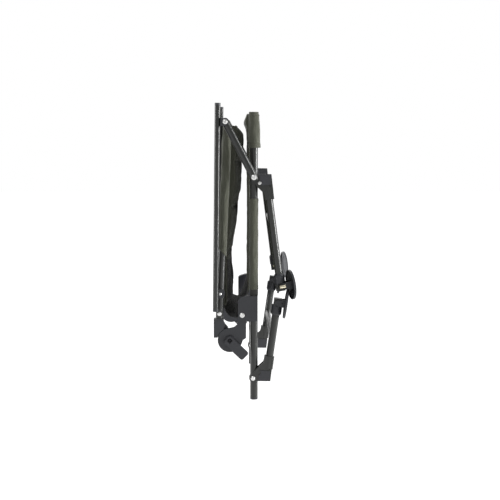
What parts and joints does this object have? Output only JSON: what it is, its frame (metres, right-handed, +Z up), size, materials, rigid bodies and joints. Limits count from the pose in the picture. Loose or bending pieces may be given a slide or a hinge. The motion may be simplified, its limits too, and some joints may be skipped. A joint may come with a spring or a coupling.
{
  "type": "folding camp chair",
  "caption": "Folded padded camp chair with armrests, a reclining back, and telescopic legs on round feet, standing on the ends of its seat rails.",
  "frame": {"origin": "centre of the chair's bounding box at its lowest level, where the ends of the two side rails stand", "axes": "+Z up along the rails to the front of the seat, +X towards the chair's underside, +Y towards the sitter's left"},
  "size_m": [0.2409, 0.6496, 0.8585],
  "materials": {
    "coated_steel": "satin powder coat",
    "plastic": "matte moulded",
    "fabric": "plain woven polyester",
    "zinc": "bright zinc plate",
    "steel": "stamped",
    "brass": "turned"
  },
  "bodies": {
    "chair_frame": {"seat_rail_r": "coated_steel", "seat_rail_l": "coated_steel", "front_crossbar": "coated_steel", "rear_crossbar": "coated_steel", "rail_end_caps": "plastic", "seat_panel": "fabric", "seat_sleeves": "fabric", "recliner_housing_r": "plastic", "recliner_housing_l": "plastic", "recliner_lock_discs": "steel", "frame_pivot_bolts": "zinc", "housing_rivets": "zinc"},
    "backrest": {"backrest_tube_r": "coated_steel", "backrest_tube_l": "coated_steel", "backrest_top_bar": "coated_steel", "backrest_lower_bar": "coated_steel", "backrest_brackets": "plastic", "backrest_rivets": "zinc", "armrest_pivot_bolts": "zinc", "back_cushion": "fabric", "back_sleeves": "fabric"},
    "front_legs": {"front_leg_brackets": "coated_steel", "front_bracket_rivets": "zinc", "front_leg_pads": "plastic", "front_leg_tube_r": "coated_steel", "front_leg_tube_l": "coated_steel", "front_leg_brace": "coated_steel"},
    "rear_legs": {"rear_leg_brackets": "coated_steel", "rear_leg_pads": "plastic", "rear_leg_tube_r": "coated_steel", "rear_leg_tube_l": "coated_steel", "rear_leg_brace": "coated_steel"},
    "armrest_right": {"armrest_r": "coated_steel", "armrest_caps_r": "plastic", "armrest_clevis_r": "plastic", "armrest_rivets_r": "zinc", "armrest_lug_r": "plastic"},
    "post_right": {"armrest_post_r": "coated_steel"},
    "lever_right": {"recliner_lever_r": "plastic"},
    "front_right_inner_leg": {"front_inner_leg_r": "coated_steel"},
    "front_right_collar": {"front_collar_r": "plastic"},
    "front_right_foot": {"front_foot_r": "plastic", "front_foot_pin_r": "brass"},
    "rear_right_inner_leg": {"rear_inner_leg_r": "coated_steel"},
    "rear_right_collar": {"rear_collar_r": "plastic"},
    "rear_right_foot": {"rear_foot_r": "plastic"},
    "armrest_left": {"armrest_l": "coated_steel", "armrest_caps_l": "plastic", "armrest_clevis_l": "plastic", "armrest_rivets_l": "zinc", "armrest_lug_l": "plastic"},
    "post_left": {"armrest_post_l": "coated_steel"},
    "lever_left": {"recliner_lever_l": "plastic"},
    "front_left_inner_leg": {"front_inner_leg_l": "coated_steel"},
    "front_left_collar": {"front_collar_l": "plastic"},
    "front_left_foot": {"front_foot_l": "plastic", "front_foot_pin_l": "brass"},
    "rear_left_inner_leg": {"rear_inner_leg_l": "coated_steel"},
    "rear_left_collar": {"rear_collar_l": "plastic"},
    "rear_left_foot": {"rear_foot_l": "plastic"}
  },
  "joints": [
    {"name": "legs_fold", "type": "hinge", "parent": "chair_frame", "child": "front_legs", "pos_m": [-0.0006, 0, 0.6479], "axis": [0, -1, 0], "range_deg": [0, 92]},
    {"name": "rear_legs_fold", "type": "hinge", "parent": "chair_frame", "child": "rear_legs", "pos_m": [-0.0029, 0, 0.0638], "axis": [0, 1, 0], "range_deg": [0, 92]},
    {"name": "backrest_recline", "type": "hinge", "parent": "chair_frame", "child": "backrest", "pos_m": [-0.0702, 0, 0.1755], "axis": [0, -1, 0], "range_deg": [0, 105]},
    {"name": "armrest_right_pivot", "type": "hinge", "parent": "backrest", "child": "armrest_right", "pos_m": [-0.0972, -0.308, 0.3132], "axis": [0, -1, 0], "range_deg": [-107, 0]},
    {"name": "post_right_pivot", "type": "hinge", "parent": "chair_frame", "child": "post_right", "pos_m": [-0.0006, -0.308, 0.6479], "axis": [0, -1, 0], "range_deg": [0, 78]},
    {"name": "lever_right_lift", "type": "hinge", "parent": "chair_frame", "child": "lever_right", "pos_m": [-0.0702, -0.298, 0.1755], "axis": [0, 1, 0], "range_deg": [0, 30]},
    {"name": "front_right_leg_slide", "type": "slide", "parent": "front_legs", "child": "front_right_inner_leg", "axis": [0.1288, 0, -0.9917], "range_m": [0, 0.09]},
    {"name": "front_right_collar_twist", "type": "hinge", "parent": "front_legs", "child": "front_right_collar", "pos_m": [0.0737, -0.28, 0.35301], "axis": [0.1288, 0, -0.9917], "range_deg": [0, 60]},
    {"name": "front_right_foot_tilt", "type": "hinge", "parent": "front_right_inner_leg", "child": "front_right_foot", "pos_m": [0.07647, -0.28, 0.33169], "axis": [-0.2399, 0.9703, -0.0312], "range_deg": [0, 90]},
    {"name": "rear_right_leg_slide", "type": "slide", "parent": "rear_legs", "child": "rear_right_inner_leg", "axis": [0.1426, 0, 0.9898], "range_m": [0, 0.09]},
    {"name": "rear_right_collar_twist", "type": "hinge", "parent": "rear_legs", "child": "rear_right_collar", "pos_m": [0.06513, -0.28, 0.26314], "axis": [0.1426, 0, 0.9898], "range_deg": [0, 60]},
    {"name": "rear_right_foot_tilt", "type": "hinge", "parent": "rear_right_inner_leg", "child": "rear_right_foot", "pos_m": [0.06819, -0.28, 0.28442], "axis": [0, -1, 0], "range_deg": [0, 90]},
    {"name": "armrest_left_pivot", "type": "hinge", "parent": "backrest", "child": "armrest_left", "pos_m": [-0.0972, 0.308, 0.3132], "axis": [0, -1, 0], "range_deg": [-107, 0]},
    {"name": "post_left_pivot", "type": "hinge", "parent": "chair_frame", "child": "post_left", "pos_m": [-0.0006, 0.308, 0.6479], "axis": [0, -1, 0], "range_deg": [0, 78]},
    {"name": "lever_left_lift", "type": "hinge", "parent": "chair_frame", "child": "lever_left", "pos_m": [-0.0702, 0.298, 0.1755], "axis": [0, 1, 0], "range_deg": [0, 30]},
    {"name": "front_left_leg_slide", "type": "slide", "parent": "front_legs", "child": "front_left_inner_leg", "axis": [0.1288, 0, -0.9917], "range_m": [0, 0.09]},
    {"name": "front_left_collar_twist", "type": "hinge", "parent": "front_legs", "child": "front_left_collar", "pos_m": [0.0737, 0.28, 0.35301], "axis": [0.1288, 0, -0.9917], "range_deg": [0, 60]},
    {"name": "front_left_foot_tilt", "type": "hinge", "parent": "front_left_inner_leg", "child": "front_left_foot", "pos_m": [0.07647, 0.28, 0.33169], "axis": [0.2399, 0.9703, 0.0312], "range_deg": [0, 90]},
    {"name": "rear_left_leg_slide", "type": "slide", "parent": "rear_legs", "child": "rear_left_inner_leg", "axis": [0.1426, 0, 0.9898], "range_m": [0, 0.09]},
    {"name": "rear_left_collar_twist", "type": "hinge", "parent": "rear_legs", "child": "rear_left_collar", "pos_m": [0.06513, 0.28, 0.26314], "axis": [0.1426, 0, 0.9898], "range_deg": [0, 60]},
    {"name": "rear_left_foot_tilt", "type": "hinge", "parent": "rear_left_inner_leg", "child": "rear_left_foot", "pos_m": [0.06819, 0.28, 0.28442], "axis": [0, -1, 0], "range_deg": [0, 90]}
  ],
  "couplings": [
    {"joint": "rear_legs_fold", "follows": "legs_fold", "ratio": 1},
    {"joint": "armrest_right_pivot", "follows": "backrest_recline", "ratio": -1.0093},
    {"joint": "post_right_pivot", "follows": "backrest_recline", "ratio": 0.7281},
    {"joint": "front_right_leg_slide", "follows": "legs_fold", "m_per_rad": 0.05599},
    {"joint": "front_right_foot_tilt", "follows": "legs_fold", "ratio": 0.9778},
    {"joint": "rear_right_leg_slide", "follows": "legs_fold", "m_per_rad": 0.05599},
    {"joint": "rear_right_foot_tilt", "follows": "legs_fold", "ratio": 0.9778},
    {"joint": "armrest_left_pivot", "follows": "backrest_recline", "ratio": -1.0093},
    {"joint": "post_left_pivot", "follows": "backrest_recline", "ratio": 0.7281},
    {"joint": "front_left_leg_slide", "follows": "legs_fold", "m_per_rad": 0.05599},
    {"joint": "front_left_foot_tilt", "follows": "legs_fold", "ratio": 0.9778},
    {"joint": "rear_left_leg_slide", "follows": "legs_fold", "m_per_rad": 0.05599},
    {"joint": "rear_left_foot_tilt", "follows": "legs_fold", "ratio": 0.9778}
  ]
}
